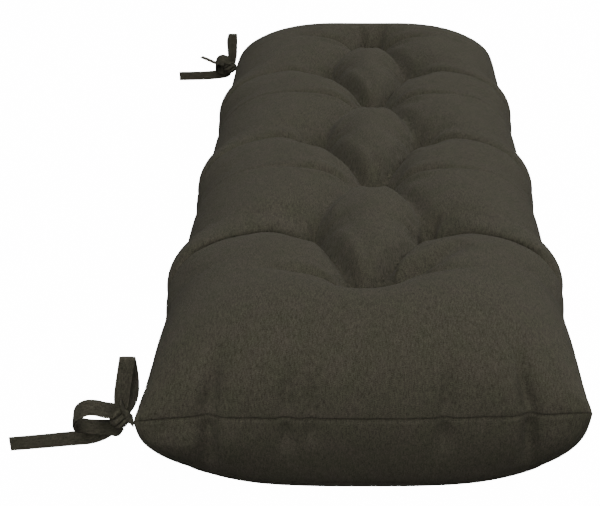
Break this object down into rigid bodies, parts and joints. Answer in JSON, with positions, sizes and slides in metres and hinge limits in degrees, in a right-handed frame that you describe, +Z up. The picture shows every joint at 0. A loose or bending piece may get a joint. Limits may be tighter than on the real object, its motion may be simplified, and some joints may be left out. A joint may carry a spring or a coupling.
{
  "type": "bench cushion",
  "caption": "Long puffed seat cushion for a bench, drawn in by rows of tufts, with a plain seam all round and knotted cloth ties at the corners of one side.",
  "frame": {"origin": "middle of the flat underside of the cushion, on the surface that it rests on", "axes": "+Z up out of the tufted face, +Y along the cushion's length towards the far end, +X across it, away from the side with the ties"},
  "size_m": [0.5253, 1.1922, 0.175],
  "materials": {
    "cushion_cloth": "matt linen-look plain weave, dark olive grey",
    "tie_cloth": "the same plain weave, folded to a flat strip"
  },
  "bodies": {
    "root": {"cushion": "cushion_cloth", "tie_near": "tie_cloth", "tie_far": "tie_cloth"}
  },
  "joints": []
}
